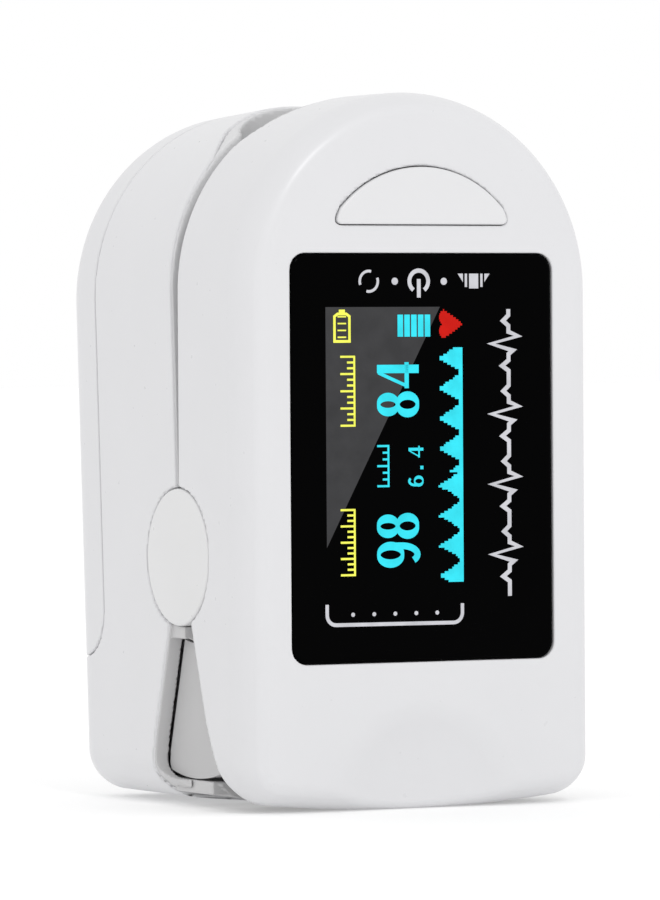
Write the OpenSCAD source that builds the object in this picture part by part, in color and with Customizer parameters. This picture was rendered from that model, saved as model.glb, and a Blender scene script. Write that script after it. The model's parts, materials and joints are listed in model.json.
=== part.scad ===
// Fingertip pulse oximeter: two hinged halves that stand on their squeeze end.
// X is across the display, Y runs from the display to the battery door and Z is up, along the finger.
// The origin is the centre of the bounding box's underside.

/* [Body] */
// Width of both halves
body_w = 32; // [31:0.5:34]
// Height from the squeeze end to the top of the arch
body_h = 58; // [57:0.5:60]
// Depth of the display half, in front of the hinge axis
front_depth = 12.6; // [12.6:0.2:14]
// Depth of the battery half, behind the hinge axis
rear_depth = 20.6; // [20.6:0.2:22]
// Thickness of the white side walls
wall = 1.3; // [1.2:0.05:1.3]
// Radius of the curve from the sides to the display face
edge_r = 5; // [4:0.1:6]
// How far in from the outline that curve meets the flat face
edge_in = 1.3; // [1:0.05:1.5]
// Radius round the battery half's back
back_r = 3.2; // [2.6:0.1:3.6]

/* [Hinge] */
// Height of the hinge axis
hinge_z = 20.4; // [20:0.1:21]
// Lean of the battery half when the jaw is shut, in degrees
rear_lean = 3; // [2.5:0.5:3.5]
// Radius of the round hinge caps
cap_r = 5.6; // [5.4:0.1:5.8]
// Radius of the steel hinge shaft
shaft_r = 1; // [0.9:0.05:1]

/* [Display] */
// Width of the display window
window_w = 23.9; // [22:0.1:24.2]
// Height of the display window
window_h = 32.9; // [32:0.1:33.4]
// Height of the window's lower edge above the base
window_z = 12; // [11.6:0.1:12.4]

/* [Battery] */
// Diameter of an AAA cell
cell_d = 10.5; // [10:0.1:10.5]
// Length of an AAA cell with its nub
cell_l = 44.5; // [43.5:0.1:44.5]

/* [Hidden] */
$fn = 48;

half_w = body_w / 2;
arch_z = body_h - half_w;              // centre of the arch
seam_gap = 0.15;                       // front half's rim to the hinge plane
front_wall = 1.8;                      // thickness behind the display face
floor_wall = 0.95;                     // thickness of the squeeze end's wall
bow_r = 120;                           // gentle bow of the squeeze end
flat_cut = 0.2;                        // how far the bow is cut off to stand on
corner_r = 3;                          // corners of the squeeze end, seen from the front
corner_z = 3.4;                        // height of those corners' centres
big = 100;                             // larger than the object, for half-spaces
slip = 0.1;                            // gap between parts that only sit side by side

// Places along Y in the display half
face_y = -front_depth;
inner_face_y = face_y + front_wall;
board_y = -8.4;                        // front of the main board
board_t = 1;
plate_y = -1.4;                        // finger side of the display half's frame
plate_t = 1.4;
// Places along Y in the battery half, before it leans
rear_plate_y = 0.6;
rear_plate_t = 1.2;
bay_y = 7.6;                           // battery bay's floor, on the finger side
bay_t = 0.8;
cell_y = bay_y + bay_t + 0.1 + cell_d / 2;
cell_x = cell_d / 2 + 0.1;
bay_x = cell_x + cell_d / 2 + 0.15;    // half the bay's inner width
bay_wall = 0.75;
door_y = 14.25;                        // edge of the battery door along the sides
door_z = 12.6;                         // lower edge of the battery door
door_t = 1.4;
plate_z = 25.6;                        // lower end of both frames' plates
stop_z = 27;                           // where the fingertip stops

// Finger channel: a cylinder along the finger in each half
rear_bed_r = 9.95;
rear_bed_y = -2.8;
front_bed_r = 22;
front_bed_y = front_bed_r - 2.9;
front_notch_r = 22.75;                 // notch in the display half's arch
front_notch_y = 20.1;
scoop_r = 26;                          // thumb scoop in the display face
scoop_deep = 1.2;
bed_t = 0.85;
pad_top = 54;

// Hinge stack across X, from the middle out
front_ear_x = 12.7;
rear_ear_x = 13.7;
ear_t = 0.75;
ear_r = 4.4;
rear_ear_r = 6.85;
cheek_in_r = 7;                        // the display half's cheeks, from the axis
cheek_r = 18.05;
cheek_x = 14.5;                        // their outer face
lip_t = 0.3;                           // white left outside the battery half's grey rim
rim_t = 0.8;                           // thickness of that rim
squeeze = 16;                          // how far the jaw opens, in degrees

// The origin is the middle of the bounding box, so the hinge plane lies off it.
button_proud = 0.2;
back_reach = (rear_depth - back_r) * cos(rear_lean) + (body_h - back_r - hinge_z) * sin(rear_lean) + back_r;
hinge_y = (front_depth + button_proud - back_reach) / 2;

// ---------- shared shapes ----------

module placed() translate([0, hinge_y, 0]) children();

// The battery half leans about the hinge axis.
module leaning() translate([0, 0, hinge_z]) rotate([-rear_lean, 0, 0])
    translate([0, 0, -hinge_z]) children();

module mirrored() {
    children();
    mirror([1, 0, 0]) children();
}

// Rounded rectangle between y_lo and y_hi, with its own corner radius at each end.
module section(w, y_lo, y_hi, r_lo, r_hi) {
    translate([-w, y_lo + r_lo]) square([2 * w, y_hi - y_lo - r_lo - r_hi]);
    for (end = [[y_lo + r_lo, r_lo, -1], [y_hi - r_hi, r_hi, 1]])
        if (end[1] > 0) {
            translate([-w + end[1], min(end[0], end[0] + end[2] * end[1])])
                square([2 * w - 2 * end[1], end[1]]);
            for (x = [-1, 1]) translate([x * (w - end[1]), end[0]]) circle(r = end[1]);
        }
}

// Straight body with a half-round top, w wide each way.
module arch_body(w, y_lo, y_hi, r_lo = 0, r_hi = 0, z_lo = -5) {
    translate([0, 0, z_lo]) linear_extrude(arch_z - z_lo) section(w, y_lo, y_hi, r_lo, r_hi);
    translate([0, 0, arch_z]) rotate([90, 0, 0]) rotate_extrude(angle = 180) mirror([0, 1])
        intersection() {
            section(w, y_lo, y_hi, r_lo, r_hi);
            translate([0, -big / 2]) square([big, big]);
        }
}

// Everything above the squeeze end's bowed underside, taken in by side and raised by lift.
module above_base(side = 0, lift = 0) {
    r = max(corner_r - side, 0.9);
    x = half_w - side - r;
    z = lift + corner_z - (corner_r - r);
    rotate([90, 0, 0]) linear_extrude(big, center = true) intersection() {
        translate([0, lift - flat_cut + bow_r]) circle(r = bow_r, $fn = 96);
        union() {
            translate([-half_w + side, z]) square([body_w - 2 * side, big]);
            translate([-x, lift]) square([2 * x, z + 1]);
            for (s = [-1, 1]) translate([s * x, z]) circle(r = r);
        }
    }
}

// A shape drawn as (y, z) and carried across X from x_lo to x_hi.
module across(x_lo, x_hi) translate([x_lo, 0, 0]) rotate([90, 0, 90]) linear_extrude(x_hi - x_lo) children();

module box(lo, hi) translate(lo) cube(hi - lo);

// Cylinder along Y from y_lo to y_hi.
module rod_y(r, x, z, y_lo, y_hi) translate([x, y_hi, z]) rotate([90, 0, 0])
    cylinder(r = r, h = y_hi - y_lo);

module rod_x(r, x_lo, x_hi) translate([x_lo, 0, hinge_z]) rotate([0, 90, 0])
    cylinder(r = r, h = x_hi - x_lo);

module bed(r, y, z_lo, z_hi) translate([0, y, z_lo]) cylinder(r = r, h = z_hi - z_lo, $fn = 160);

// The wedge-shaped gap below the hinge caps, on the display side and on the battery side.
module front_wedge() across(-big / 2, big / 2) polygon([
    [-2.2, 15.2], [-5.8, 4.2], [-6.3, 2.7], [-7.1, 1.6], [-8, 0.8], [-8.4, -1], [big, -1], [big, 15.2]
]);
module rear_wedge_shape() polygon([
    [1.6, 15.2], [4.9, 4.3], [4.9, 2.8], [4, 1.7], [3.2, 1.05], [2.9, -1], [-big, -1], [-big, 15.2]
]);
module rear_wedge(extra = 0) across(-big / 2, big / 2) translate([extra, 0]) rear_wedge_shape();

module cap_pocket() for (s = [-1, 1]) rod_x(cap_r + 0.1, s * 15.5 - 2, s * 15.5 + 2);

// Half disc of the button, grown by extra.
module button_shape(extra = 0) {
    soft = 0.45;
    offset(r = soft + extra, $fn = 32) offset(delta = -soft) intersection() {
        translate([0, arch_z]) circle(r = 9.9, $fn = 96);
        translate([-7.8, arch_z + 5.25]) square([15.6, 20]);
    }
}
module extrude_y(y_lo, y_hi) translate([0, y_hi, 0]) rotate([90, 0, 0])
    linear_extrude(y_hi - y_lo) children();

module rounded_window(w, h, r) {
    translate([-w / 2 + r, window_z + (window_h - h) / 2]) square([w - 2 * r, h]);
    translate([-w / 2, window_z + (window_h - h) / 2 + r]) square([w, h - 2 * r]);
    for (x = [-1, 1], z = [-1, 1])
        translate([x * (w / 2 - r), window_z + window_h / 2 + z * (h / 2 - r)]) circle(r = r);
}

// ---------- display half ----------

front_screw_at = [[9.8, 8.9], [11.3, 47.4]];   // x and z of the screws, one side
front_boss_r = 1.6;
low_seat_y = -7.1;                     // where the lower bosses end, under the slanted wall

// Outside of the display half: a wide curve all round that meets the flat face at a soft crease.
edge_over = edge_r - sqrt(edge_r * edge_r - pow(edge_r - edge_in, 2));
module front_outer() intersection() {
    arch_body(half_w, face_y - edge_over, -seam_gap, edge_r, 0);
    box([-big, face_y, -big], [big, big, big]);
    above_base();
    across(-big / 2, big / 2) {
        translate([face_y - edge_over + edge_r, 0]) square([30, big]);
        translate([face_y - edge_over, edge_r]) square([30, big]);
        translate([face_y - edge_over + edge_r, edge_r]) circle(r = edge_r);
    }
}

module front_cover() color("whitesmoke") difference() {
    union() {
        difference() {
            front_outer();
            intersection() {
                arch_body(half_w - wall, inner_face_y, big, 1.5, 0);
                above_base(wall, floor_wall);
            }
        }
        mirrored() {
            low = front_screw_at[0];
            top = front_screw_at[1];
            rod_y(front_boss_r, low[0], low[1], inner_face_y - 0.5, low_seat_y - slip);
            rod_y(front_boss_r, top[0], top[1], inner_face_y - 0.5, plate_y - plate_t - slip);
        }
    }
    front_wedge();
    cap_pocket();
    bed(front_notch_r, front_notch_y, body_h - 6, body_h + 2);
    extrude_y(face_y - 1, face_y + 1.1) rounded_window(window_w + 0.2, window_h + 0.2, 1.45);
    extrude_y(face_y - 1, 0) rounded_window(window_w - 2.4, window_h - 2.4, 0.8);
    extrude_y(face_y - 1, inner_face_y + 1) button_shape(0.12);
    // thumb scoop at the squeeze end
    translate([0, face_y - scoop_r + scoop_deep, 0.3]) sphere(r = scoop_r, $fn = 160);
    mirrored() {
        rod_y(0.7, front_screw_at[0][0], front_screw_at[0][1], inner_face_y + 0.3, 0);
        rod_y(0.7, front_screw_at[1][0], front_screw_at[1][1], -9, 0);
    }
}

module display_window() color("black") extrude_y(face_y + 0.05, face_y + 0.95)
    rounded_window(window_w, window_h, 1.35);

module window_tape() color("dimgray") difference() {
    extrude_y(face_y + 0.95, face_y + 1.1) rounded_window(window_w - 0.2, window_h - 0.2, 1.25);
    extrude_y(face_y, 0) rounded_window(window_w - 2.4, window_h - 2.4, 0.8);
}

oled_x = [-10.5, 6.9];
oled_z = [15.2, 42.2];
oled_y = face_y + 1.2;

module oled_panel() color("black") box([oled_x[0], oled_y, oled_z[0]], [oled_x[1], oled_y + 1.4, oled_z[1]]);

module oled_foam() color("gray")
    box([oled_x[0] + 1, oled_y + 1.4, oled_z[0] + 2], [oled_x[1] - 1, board_y, oled_z[1] - 1]);

// Ribbon from the panel's lower edge, folded back onto the board.
module oled_ribbon() color("darkorange") across(-7, 3.4) polygon([
    [oled_y + 0.8, oled_z[0]], [oled_y + 0.9, 13.6], [oled_y + 1.6, 12.8], [board_y - 0.5, 12.8],
    [board_y, 13.4], [board_y, 16.6],
    [board_y - 0.2, 16.6], [board_y - 0.2, 13.5], [board_y - 0.6, 13], [oled_y + 1.7, 13],
    [oled_y + 1.1, 13.7], [oled_y + 1, oled_z[0]]
]);

switch_z = 49.6;
stem_y = -10.2;                        // end of the button's stem

module power_button() color("whitesmoke") {
    extrude_y(face_y - button_proud, inner_face_y + 0.15) button_shape();
    extrude_y(inner_face_y + 0.1, inner_face_y + 0.55) intersection() {
        button_shape(0.8);
        translate([-8.4, 0]) square([16.8, big]);
    }
    rod_y(1.2, 0, switch_z, inner_face_y + 0.5, stem_y);
}

module switch_plunger() color("black") rod_y(0.85, 0, switch_z, stem_y, -9.2);

module tact_switch() color("silver") difference() {
    box([-2.2, -9.7, switch_z - 1.7], [2.2, board_y, switch_z + 1.7]);
    rod_y(0.95, 0, switch_z, -10, -8.65);
}

// Outline of the main board: clear of the screw bosses.
module main_board() color("darkgreen") difference() {
    intersection() {
        arch_body(12.3, board_y, board_y + board_t, z_lo = 9.2);
        box([-13, board_y - 1, 9.2], [13, 0, 53]);
    }
    mirrored() for (p = front_screw_at) rod_y(front_boss_r + 0.3, p[0], p[1], -10, -5);
    for (x = [-1, 1]) box([x < 0 ? -13 : 10.6, -10, 45.6], [x < 0 ? -10.6 : 13, -5, 56]);
}

board_back = board_y + board_t;

module microcontroller() color("black") box([-3.5, board_back, 26], [3.5, board_back + 0.9, 33]);

// Small parts on the back of the board: the crystal, the regulator, resistors and capacitors.
module board_components() color("tan") {
    box([5, board_back, 29], [8, board_back + 0.8, 31]);
    box([-9, board_back, 20.4], [-6.2, board_back + 0.8, 23.4]);
    for (i = [0:4], s = [-1, 1])
        box([s * 6.4 - 0.5, board_back, 35 + 2 * i], [s * 6.4 + 0.5, board_back + 0.5, 35.6 + 2 * i]);
    box([-3.2, board_back, 16.2], [3.2, board_back + 0.9, 18.8]);
}

// Ear that hangs the display half on the shaft, and the strap below it.
module front_ear_shape() {
    translate([0, hinge_z]) circle(r = ear_r);
    polygon([[-4.4, hinge_z], [-4.4, 31], [plate_y, 31], [plate_y, 26], [1, hinge_z]]);
    polygon([[-3.6, hinge_z - 2], [-5.6, 9.4], [3, 9.4], [3.2, hinge_z - 3]]);
}

// Cheek that fills the wedge under the caps and slides inside the battery half's wall.
module front_cheek_shape() intersection() {
    translate([0, hinge_z]) difference() {
        circle(r = cheek_r, $fn = 160);
        circle(r = cheek_in_r, $fn = 96);
    }
    union() {
        polygon([[-2, 15.2], [-5.4, 4], [-5.4, 0], [3.4, 0], [4.4, 3.6], [4.6, 4.3], [1.3, 15.2]]);
        translate([3.5, 3.6]) circle(r = 1.15);
    }
}

module front_frame() color("lightgray") difference() {
    union() {
        // plate across the display half, with the finger bed in it
        intersection() {
            arch_body(half_w - wall - 0.2, plate_y - plate_t, plate_y);
            box([-big, -big, plate_z], [big, big, big]);
        }
        intersection() {
            arch_body(half_w - wall - 0.2, -4.2, plate_y);
            bed(front_bed_r + 1.2, front_bed_y, plate_z, body_h - wall - 0.1);
            box([-9.6, -big, -big], [9.6, big, big]);
        }
        // lip that fills the notch in the arch
        intersection() {
            arch_body(half_w - 0.1, -4.2, -0.9);
            bed(front_notch_r - 0.05, front_notch_y, body_h - wall - 2, body_h);
            box([-9.2, -big, -big], [9.2, big, big]);
        }
        mirrored() {
            across(front_ear_x, front_ear_x + ear_t) front_ear_shape();
            across(front_ear_x + ear_t - 0.1, cheek_x) front_cheek_shape();
        }
        // slanted wall that closes the squeeze end off and takes the springs' push
        difference() {
            intersection() {
                above_base(wall + 0.2, floor_wall + 0.1);
                across(-front_ear_x - 0.1, front_ear_x + 0.1) polygon([
                    [plate_y - plate_t, plate_z + 1], [plate_y, plate_z + 1], [-2.9, 24.4], [-4.9, 14.5],
                    [-6.3, 8.6], [-9.6, 1.1], [-10.4, 1.1], [-7.1, 8.6], [-5.7, 14.5], [-3.8, 24.4]
                ]);
            }
            mirrored() rod_y(front_boss_r + 0.1, front_screw_at[0][0], front_screw_at[0][1], -12, low_seat_y);
        }
        mirrored() rod_y(2, front_screw_at[0][0], front_screw_at[0][1], low_seat_y, -6);
    }
    // room for the battery half's ears
    for (x = [-1, 1]) rod_x(rear_ear_r + 0.15, x * 14.5 - 0.95, x * 14.5 + 0.95);
    bed(front_bed_r - bed_t, front_bed_y, stop_z, big);
    // seat for the finger pad, with an opening for the light source
    intersection() {
        bed(front_bed_r + 0.55, front_bed_y, stop_z + 1, pad_top);
        box([-8.1, -big, 0], [8.1, plate_y + 1, big]);
    }
    box([-2.7, -6, arch_z - 2.7], [2.7, 0, arch_z + 2.7]);
    // slot for the flat cable
    box([-3.2, -8, 15.2], [3.2, -3, 18.4]);
    rod_x(shaft_r + 0.06, -big, big);
    mirrored() {
        rod_y(0.95, front_screw_at[0][0], front_screw_at[0][1], -8, 0);
        rod_y(1.7, front_screw_at[0][0], front_screw_at[0][1], -6.6, -5);
        rod_y(0.95, front_screw_at[1][0], front_screw_at[1][1], -6, 0);
        rod_y(1.7, front_screw_at[1][0], front_screw_at[1][1], plate_y - 0.8, 0);
    }
}

module front_finger_pad() color("dimgray") difference() {
    intersection() {
        bed(front_bed_r + 0.5, front_bed_y, stop_z + 1.1, pad_top - 0.1);
        box([-8, -big, 0], [8, -1.9, big]);
    }
    bed(front_bed_r - bed_t, front_bed_y, 0, big);
    box([-2.6, -6, arch_z - 2.6], [2.6, 0, arch_z + 2.6]);
}

emitter_y = -4.2;                      // finger side of the light source's board
module emitter_board() color("darkgreen")
    box([-3.4, emitter_y - 0.6, arch_z - 5], [3.4, emitter_y, arch_z + 5]);
module emitter_pins() color("gold") for (i = [0:3])
    rod_y(0.25, -2.25 + 1.5 * i, arch_z - 4, board_back, emitter_y - 0.6);
module led_emitter() color("white") box([-1.6, emitter_y, arch_z - 1.5], [1.6, -2.95, arch_z + 1.5]);
module emitter_lens() color([0.8, 0.2, 0.2, 0.5]) box([-2.5, -2.9, arch_z - 2.5], [2.5, -2.2, arch_z + 2.5]);

// Self-tapping screw along Y: head at y, pointing to -Y.
module screw(x, z, y, head_r, shank_r, length, side = 1) translate([x, y, z]) rotate([side * 90, 0, 0])
difference() {
    union() {
        cylinder(r = head_r, h = 0.7);
        translate([0, 0, 0.6]) cylinder(r = shank_r, h = length);
    }
    for (a = [0, 90]) rotate([0, 0, a])
        translate([-head_r * 0.6, -0.15, -0.1]) cube([head_r * 1.2, 0.3, 0.45]);
}

module front_screws() color("silver") mirrored() {
    screw(front_screw_at[0][0], front_screw_at[0][1], -5.85, 1.55, 0.7, 3.6);
    screw(front_screw_at[1][0], front_screw_at[1][1], plate_y - 0.05, 1.55, 0.7, 5.2);
}

// ---------- battery half ----------

rear_screw_at = [[12.4, 31], [12.2, 45.5]];

module rear_outer(y_lo, y_hi) intersection() {
    leaning() arch_body(half_w, y_lo, y_hi, 0, back_r);
    above_base();
    rear_bottom_round(3.5);
}

// Rounds the lower back edge, seen from the side.
module rear_bottom_round(r) {
    y = (rear_depth - r - (hinge_z - r) * sin(rear_lean)) / cos(rear_lean);
    across(-big / 2, big / 2) {
        translate([-20, 0]) square([20 + y, r + 1]);
        translate([-20, r * (1 - sin(rear_lean))]) square([big, big]);
        translate([y, r]) circle(r = r);
    }
}

module door_region(gap = 0) leaning() across(-big / 2, big / 2) {
    r = 4;
    translate([door_y + gap + r, door_z + gap]) square([20, r + 1]);
    translate([door_y + gap, door_z + gap + r]) square([20, big]);
    translate([door_y + gap + r, door_z + gap + r]) circle(r = r);
}

// Flare of the finger opening, either side of its round bed.
module rear_flare(extra) polygon([
    [-12.1 - extra, -0.3], [-7.9 - extra, 3.25 + extra], [7.9 + extra, 3.25 + extra], [12.1 + extra, -0.3]
]);

module rear_cover() color("whitesmoke") difference() {
    union() {
        difference() {
            rear_outer(0, rear_depth);
            intersection() {
                leaning() arch_body(half_w - wall, -1, rear_depth - door_t, 0, 1.8);
                above_base(wall, floor_wall);
            }
            door_region();
        }
        // battery bay: floor, side walls and top wall, tied to the outer wall by a ledge
        difference() {
            intersection() {
                leaning() union() {
                    box([-bay_x - bay_wall, bay_y, 1], [bay_x + bay_wall, door_y - 0.1, 50.5]);
                    difference() {
                        arch_body(half_w - wall + 0.2, door_y - 1, door_y - 0.1, z_lo = door_z);
                        box([-bay_x, 0, 0], [bay_x, big, 50]);
                    }
                    // fixed end of the bay, behind the lower back wall
                    box([-bay_x - bay_wall, bay_y, 0], [bay_x + bay_wall, rear_depth - door_t, 2.2]);
                }
                above_base(wall - 0.3, floor_wall - 0.3);
            }
            leaning() box([-bay_x, bay_y + bay_t, 2.1], [bay_x, big, 49.9]);
        }
        leaning() mirrored() for (p = rear_screw_at)
            rod_y(1.4, p[0], p[1], rear_plate_y + rear_plate_t + slip, door_y - 0.5);
    }
    rear_wedge();
    cap_pocket();
    // rebate for the grey rim
    intersection() {
        rear_wedge(rim_t + 0.05);
        box([-half_w + lip_t - 0.05, -big, -1], [half_w - lip_t + 0.05, big, big]);
    }
    leaning() {
        intersection() {
            arch_body(half_w - lip_t + 0.05, -1, rim_t + 0.05);
            box([-big, -big, 24], [big, big, big]);
        }
        bed(rear_bed_r + 0.05, rear_bed_y, body_h - 6, body_h + 2);
        translate([0, 0, 50]) linear_extrude(10) rear_flare(0.05);
        mirrored() for (p = rear_screw_at) rod_y(0.6, p[0], p[1], -1, 8);
    }
}

module battery_door() color("whitesmoke") {
    difference() {
        intersection() {
            leaning() arch_body(half_w, door_y, rear_depth, 0, back_r);
            door_region(0.1);
        }
        leaning() arch_body(half_w - door_t, 0, rear_depth - door_t, 0, 1.8);
        // finger grips
        leaning() for (i = [0:3])
            translate([-6, rear_depth, 18 + 2 * i]) rotate([0, 90, 0]) cylinder(r = 0.45, h = 12);
    }
    // tongue that slips behind the fixed part of the back wall
    leaning() difference() {
        box([-2.4, rear_depth - door_t - 0.85, door_z - 2], [2.4, rear_depth - door_t + 0.3, door_z + 3]);
        box([-6, rear_depth - door_t - 0.15, door_z - 3], [6, big, door_z + 0.15]);
    }
}

// Ears, floor of the squeeze end and the rim round the wedge.
module rear_skirt() {
    intersection() {
        above_base(wall + 0.2, floor_wall + 0.1);
        union() {
            mirrored() across(rear_ear_x, rear_ear_x + ear_t) {
                translate([0, hinge_z]) circle(r = rear_ear_r, $fn = 96);
                polygon([[1, hinge_z], [1.6, 28.8], [5.4, 28.8], [4.2, hinge_z]]);
            }
            box([-half_w, -3.2, 0], [half_w, 6.2, 2.2]);
        }
    }
    // strip along the floor's edge, flush with the rim, narrowing to pass inside the display half
    intersection() {
        rear_wedge(rim_t);
        above_base(lip_t, 0.3);
        linear_extrude(2.2) polygon([
            [-15.7, 0.3], [-14.5, -0.9], [14.5, -0.9], [15.7, 0.3], [15.7, 5.8], [-15.7, 5.8]
        ]);
    }
    // rim on the cut edge of the walls, from the hinge down to the floor
    difference() {
        intersection() {
            rear_wedge(rim_t);
            above_base(lip_t, 0.3);
            box([-half_w, 0, 0.9], [half_w, 9, 14.9]);
        }
        rear_wedge();
        box([-rear_ear_x, -big, 2.2], [rear_ear_x, big, big]);
        // path of the display half's cheeks; above it the rim joins the ears
        mirrored() across(rear_ear_x - 0.1, cheek_x + 0.1) difference() {
            translate([-20, 2.2]) square([60, 30]);
            translate([0, hinge_z]) circle(r = cheek_in_r - 0.1, $fn = 96);
        }
        cap_pocket();
    }
}

module rear_frame() color("lightgray") difference() {
    union() {
        rear_skirt();
        leaning() difference() {
            union() {
                intersection() {
                    arch_body(half_w - wall - 0.2, rear_plate_y, rear_plate_y + rear_plate_t);
                    box([-big, -big, plate_z], [big, big, big]);
                }
                // rim that covers the edge of the white wall
                intersection() {
                    arch_body(half_w - lip_t, 0.05, rim_t);
                    box([-big, -big, plate_z], [big, big, big]);
                }
                intersection() {
                    arch_body(half_w - wall - 0.2, rear_plate_y, 7.3);
                    bed(rear_bed_r, rear_bed_y, plate_z, body_h - wall - 0.1);
                }
                // lip that fills the notch in the arch
                intersection() {
                    arch_body(half_w - 0.1, 0.15, 8);
                    union() {
                        bed(rear_bed_r - 0.05, rear_bed_y, body_h - wall - 2, body_h);
                        translate([0, 0, 50.1]) linear_extrude(10) rear_flare(-0.05);
                    }
                }
            }
            bed(rear_bed_r - bed_t, rear_bed_y, stop_z, big);
            // pocket for the detector and its board
            box([-3.7, 4, arch_z - 5.2], [3.7, big, arch_z + 5.2]);
            mirrored() for (p = rear_screw_at) {
                rod_y(0.85, p[0], p[1], -1, 8);
                rod_y(1.45, p[0], p[1], -1, rear_plate_y + 0.7);
            }
        }
    }
    rod_x(shaft_r + 0.02, -big, big);
    for (s = [-1, 1]) rod_x(cap_r + 0.1, s * 16 - 1.45, s * 16 + 1.45);
}

module rear_finger_pad() color("dimgray") leaning() difference() {
    intersection() {
        bed(rear_bed_r - bed_t - 0.02, rear_bed_y, stop_z + 0.1, pad_top);
        box([-big, 0.8, 0], [big, big, big]);
    }
    bed(rear_bed_r - bed_t - 1, rear_bed_y, stop_z + 1.2, big);
    box([-2.6, 3, arch_z - 2.6], [2.6, big, arch_z + 2.6]);
}

module detector_board() color("darkgreen") leaning() box([-3.5, 6.9, arch_z - 5], [3.5, 7.5, arch_z + 5]);
module photodetector() color("black") leaning() box([-1.5, 6.1, arch_z - 1.5], [1.5, 6.9, arch_z + 1.5]);
module detector_lens() color([0.9, 0.9, 0.9, 0.5]) leaning()
    box([-2.5, 5.3, arch_z - 2.5], [2.5, 6, arch_z + 2.5]);

module rear_screws() color("silver") leaning() mirrored() for (p = rear_screw_at)
    screw(p[0], p[1], rear_plate_y - 0.1, 1.3, 0.6, 5, side = -1);

// ---------- battery bay ----------

cell_floor = 5;                        // lower end of the left cell, on its spring
nub_r = 1.9;
nub_h = 0.8;
sleeve_t = 0.12;
plus_floor = 2.55;                     // nub of the right cell, which is upside down

module cell() {
    can = cell_l - nub_h;
    cylinder(r = cell_d / 2 - sleeve_t, h = can);
    translate([0, 0, can]) cylinder(r = nub_r, h = nub_h);
}
module cell_sleeve() difference() {
    translate([0, 0, 0.4]) cylinder(r = cell_d / 2, h = cell_l - nub_h - 0.8);
    translate([0, 0, -1]) cylinder(r = cell_d / 2 - sleeve_t, h = cell_l + 2);
}
module left_cell() leaning() translate([-cell_x, cell_y, cell_floor]) children();
module right_cell() leaning() translate([cell_x, cell_y, plus_floor + cell_l]) mirror([0, 0, 1]) children();

module battery_left() color("silver") left_cell() cell();
module battery_right() color("silver") right_cell() cell();
module battery_sleeve_left() color("seagreen") left_cell() cell_sleeve();
module battery_sleeve_right() color("seagreen") right_cell() cell_sleeve();

contact_t = 0.3;

module contact_plate(x_lo, x_hi, z) leaning()
    box([x_lo, cell_y - 3.6, z], [x_hi, cell_y + 3.6, z + contact_t]);

module bridge_contact() color("silver") contact_plate(-cell_x - 3.6, cell_x + 3.6, plus_floor - contact_t);
top_contact_z = cell_floor + cell_l;
module positive_contact() color("silver") contact_plate(-cell_x - 3.6, -cell_x + 3.6, top_contact_z);
module negative_contact() color("silver") contact_plate(cell_x - 3.6, cell_x + 3.6, top_contact_z);

// Tube swept along a list of points, with its rings square to the path.
function unit(v) = v / norm(v);
function tangent(path, i) = unit(path[min(i + 1, len(path) - 1)] - path[max(i - 1, 0)]);
module swept(path, r, up, sides = 8) {
    n = len(path);
    rings = [for (i = [0:n - 1])
        let (t = tangent(path, i), a = unit(cross(t, up)), b = cross(t, a))
        for (k = [0:sides - 1]) path[i] + r * (cos(360 * k / sides) * a + sin(360 * k / sides) * b)];
    skin = [for (i = [0:n - 2], k = [0:sides - 1])
        let (k2 = (k + 1) % sides)
        [i * sides + k, i * sides + k2, (i + 1) * sides + k2, (i + 1) * sides + k]];
    ends = [[for (k = [sides - 1:-1:0]) k], [for (k = [0:sides - 1]) (n - 1) * sides + k]];
    polyhedron(rings, concat(skin, ends));
}

// Conical coil that presses on a cell's flat end.
module coil(r_base, r_tip, height, turns, wire_r) {
    steps = turns * 14;
    swept([for (i = [0:steps])
        let (t = i / steps, a = 360 * turns * t, r = r_base + (r_tip - r_base) * t)
        [r * cos(a), r * sin(a), wire_r + (height - 2 * wire_r) * t]], wire_r, [0, 0, 1]);
}
module bridge_spring() color("silver") leaning() translate([-cell_x, cell_y, plus_floor + 0.02])
    coil(3.2, 1.8, cell_floor - plus_floor - 0.04, 3, 0.25);
module negative_spring() color("silver") leaning() translate([cell_x, cell_y, top_contact_z - 0.02])
    mirror([0, 0, 1]) coil(3.2, 1.8, top_contact_z - plus_floor - cell_l - 0.04, 3, 0.25);

// ---------- hinge ----------

cap_proud = 0.4;

module hinge_shaft() color("silver") rod_x(shaft_r, -15.1, 15.1);

module hinge_cap(side) color("whitesmoke") translate([0, 0, hinge_z]) rotate([0, side * 90, 0]) difference() {
    intersection() {
        translate([0, 0, 14.6]) cylinder(r = cap_r, h = half_w + cap_proud - 14.6, $fn = 96);
        translate([0, 0, half_w + cap_proud - 42]) sphere(r = 42, $fn = 160);
    }
    translate([0, 0, 14]) cylinder(r = shaft_r + 0.02, h = 1.2);
}
module hinge_cap_left() hinge_cap(-1);
module hinge_cap_right() hinge_cap(1);

// Torsion spring round the shaft; its legs press the squeeze ends apart.
spring_r = 1.75;
spring_wire = 0.3;
spring_turns = 5.5;
module torsion_spring(side) color("silver") {
    steps = spring_turns * 12;
    pitch = 2 * spring_wire + 0.1;
    coil_x = function(i) side * (7 + pitch * i / 12);
    swept(concat(
        [[coil_x(0), 6.75, 12], [coil_x(0), 2.4, 19.4]],
        [for (i = [0:steps])
            let (a = 360 * spring_turns * i / steps)
            [coil_x(i), spring_r * cos(a), hinge_z + spring_r * sin(a)]],
        [[coil_x(steps), -2.2, 19.2], [coil_x(steps), -5.05, 12.3]]
    ), spring_wire, [side, 0, 0]);
}
module torsion_spring_left() torsion_spring(-1);
module torsion_spring_right() torsion_spring(1);

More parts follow.
